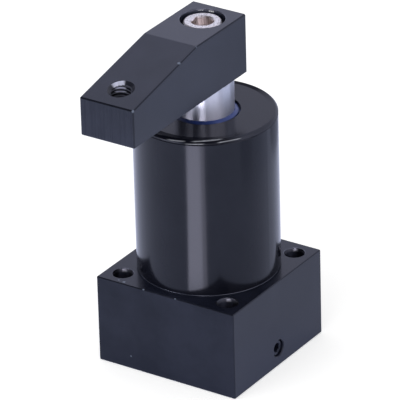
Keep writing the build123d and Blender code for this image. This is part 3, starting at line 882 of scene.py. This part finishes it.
def make_floor():
    """A large pale floor that keeps the shadow, and shows as plain white away from it."""
    mesh = bpy.data.meshes.new("floor")
    corners = [(x * FLOOR_HALF, y * FLOOR_HALF, 0) for x, y in ((-1, -1), (1, -1), (1, 1), (-1, 1))]
    mesh.from_pydata(corners, [], [(0, 1, 2, 3)])
    floor = placed("floor", mesh)
    floor.location.z = -FLOOR_DROP
    s = Shader("floor_white")
    s.set(Base_Color=rgb(0.9, 0.9, 0.9), Roughness=0.9, Specular_IOR_Level=0.0)
    camera = s.add("ShaderNodeLightPath").outputs["Is Camera Ray"]
    shown = s.blend(camera, rgb(*FLOOR_IN_GLOSS), rgb(0.5, 0.5, 0.5))
    glow = s.add("ShaderNodeEmission", {"Color": shown, "Strength": background_ray(s)})
    s.show(s.add("ShaderNodeAddShader", {0: s.bsdf.outputs[0], 1: glow.outputs[0]}))
    mesh.materials.append(s.material)


def make_world():
    """White behind the object, cool white in its gloss, and a plain soft light all round."""
    world = bpy.data.worlds.new("studio")
    world.use_nodes = True
    scene.world = world
    s = Shader.on(world.node_tree)
    path = s.add("ShaderNodeLightPath").outputs
    mirrored = s.math("MAXIMUM", path["Is Glossy Ray"], path["Is Transmission Ray"])
    room = s.blend(mirrored, rgb(WORLD_LEVEL, WORLD_LEVEL, WORLD_LEVEL), rgb(*ROOM_IN_GLOSS))
    seen = s.blend(path["Is Camera Ray"], room, rgb(1, 1, 1))
    s.feed(world.node_tree.nodes["Background"].inputs["Color"], seen)


def card(name, corners, level, tint=LAMP_IN_GLOSS):
    """A studio card that shows in gloss only, lit evenly by itself."""
    mesh = bpy.data.meshes.new(name)
    mesh.from_pydata(corners, [], [tuple(range(len(corners)))])
    s = Shader(name)
    s.show(s.add("ShaderNodeEmission", {"Color": rgb(*tint), "Strength": level}))
    mesh.materials.append(s.material)
    sheet = placed(name, mesh)
    for ray in ("camera", "diffuse", "transmission", "volume_scatter", "shadow"):
        setattr(sheet, "visible_" + ray, False)


def panel(name, azimuths, elevations, reach, level):
    """A card on a dome round the object, between two azimuths and two elevations."""
    (left, right), (low, high) = azimuths, elevations
    corners = ((left, low), (right, low), (right, high), (left, high))
    card(name, [direction(azimuth, elevation) * reach for azimuth, elevation in corners], level)


def dark_hood(name, azimuths, elevations):
    """A dark part of the room, in panels side by side."""
    first, last = azimuths
    step = (last - first) / HOOD_PANELS
    for i in range(HOOD_PANELS):
        span = (first + i * step, first + (i + 1) * step)
        panel(f"{name}_{i}", span, elevations, HOOD_REACH, HOOD_LEVEL)


def overhead():
    """A bright lamp front above the object, which reaches out towards -X."""
    (left, right), (front, rear) = OVERHEAD_X, OVERHEAD_Y
    corners = ((left, front), (right, front), (right, rear), (left, rear))
    card("overhead", [Vector((x, y, OVERHEAD_HEIGHT)) for x, y in corners], OVERHEAD_LEVEL)


def floor_light(left, right, reaches, level, tint=LAMP_IN_GLOSS):
    """A sector of the floor that shows brighter or darker in gloss, as a glossy table under lamps does."""
    near, far = reaches
    corners = ((left, near), (right, near), (right, far), (left, far))
    rise = Vector((0, 0, CARD_RISE))
    card("floor_light", [direction(azimuth) * reach + rise for azimuth, reach in corners], level, tint)


def softbox(name, azimuth):
    """An area lamp at an angle round the object, aimed at its middle."""
    width, height = SOFTBOX_SIZE
    data = bpy.data.lights.new(name, "AREA")
    data.shape = "RECTANGLE"
    data.size = width
    data.size_y = height
    data.energy = SOFTBOX_LEVEL * width * height * pi
    lamp = placed(name, data)
    away = direction(azimuth, SOFTBOX_ELEVATION)
    lamp.location = MIDDLE + away * SOFTBOX_DISTANCE
    lamp.rotation_euler = away.to_track_quat("Z", "Y").to_euler()
    lamp.visible_camera = False
    lamp.visible_glossy = False


make_camera()
make_world()
make_floor()
softbox("front", 16.5)
softbox("left", -24)
panel("front_panel", (14, 34), (0, 12), PANEL_REACH, 9.0)
panel("gap", (-11, 13), (0, 13), PANEL_REACH, 0.06)
panel("left_panel", (-40, -12), (0, 12), PANEL_REACH, 5.5)
panel("right_panel", (36, 97), (0, 12), PANEL_REACH, 2.2)
panel("side_panel", (52, 118), (14, 50), PANEL_REACH, 1.6)
panel("camera_side", (-6, 42), (13, 43), CAMERA_PANEL_REACH, 0.5)
overhead()
floor_light(4.5, 25, FRONT_SECTOR, 7.2)
floor_light(25, 31, FRONT_SECTOR, 4.0)
floor_light(86, 106, SIDE_SECTOR, 0.65, SHADE_IN_GLOSS)
floor_light(106, 150, SIDE_SECTOR, 0.85, SHADE_IN_GLOSS)
floor_light(150, 190, SIDE_SECTOR, 0.4, SHADE_IN_GLOSS)
dark_hood("hood_left", (-95, -28), (14, 80))
dark_hood("hood_near_left", (-28, -6), (43, 80))
dark_hood("hood_right", (40, 125), (22, 80))
dark_hood("hood_middle", (-6, 40), (43, 80))

materials = {
    "arm": black_oxide("arm_black", (900.0, 50.0, 50.0), tone=1.3, gloss=0.36, marks=ARM_MARKS),
    "tip": black_oxide("tip_black", (1100.0, 20.0, 20.0), (0.24, 0.32), tone=1.8, gloss=0.3, streaks=0.15,
                       marks=ARM_MARKS),
    "base": black_oxide("base_black", (60.0, 60.0, 1500.0), tone=1.4, gloss=0.22, marks=BASE_MARKS),
    "edge": black_oxide("edge_black", (200.0, 200.0, 200.0), (0.3, 0.4), tone=0.8, gloss=0.3,
                        marks=ARM_MARKS + BASE_MARKS),
    "rim": rim_steel(),
    # The pale marks on the counterbore's wall are painted glints
    "counterbore": black_oxide("counterbore_black", (60.0, 60.0, 2500.0), (0.25, 0.35), tone=1.6, gloss=0.9,
                               marks=recess_glints(), wear_and_glint_colour=(0.8, 0.8, 0.82)),
    "barrel": turned_black(),
    "barrel_round_painted_glints": round_with_painted_glints(),
    "bore": reamed(),
    "thread": tapped("thread_steel", thread_light),
    "sink": tapped("sink_steel", sink_light),
    "bead": black_oxide("bead_black", (300.0, 300.0, 300.0), (0.2, 0.3), tone=1.5),
}
make_arm()
make_base()
make_foot_bead()
make_barrel()
give(materials["base"], "channel_plug_screw")
give(chrome(), "piston_rod")
give(plated(), "arm_screw")
give(wiper(), "wiper_ring", "rod_seal")
give(moulded("seal_black", (0.012, 0.012, 0.013), 0.5), "spigot_seal_ring", "channel_seal_ring",
     "piston_seal_ring", "piston_bore_ring")
give(moulded("bearing_green", (0.05, 0.12, 0.11), 0.45), "piston_wear_ring", "piston_slide_ring")
give(bright_metal("steel_hardened", (0.42, 0.42, 0.43), 0.25), "guide_sleeve", "sleeve_dowel_pin",
     "guide_balls", "piston", "piston_retaining_ring", "arm_locating_pin")
give(bright_metal("bronze_turned", (0.62, 0.4, 0.2), 0.3), "rod_bush")

scene.view_settings.view_transform = "Standard"
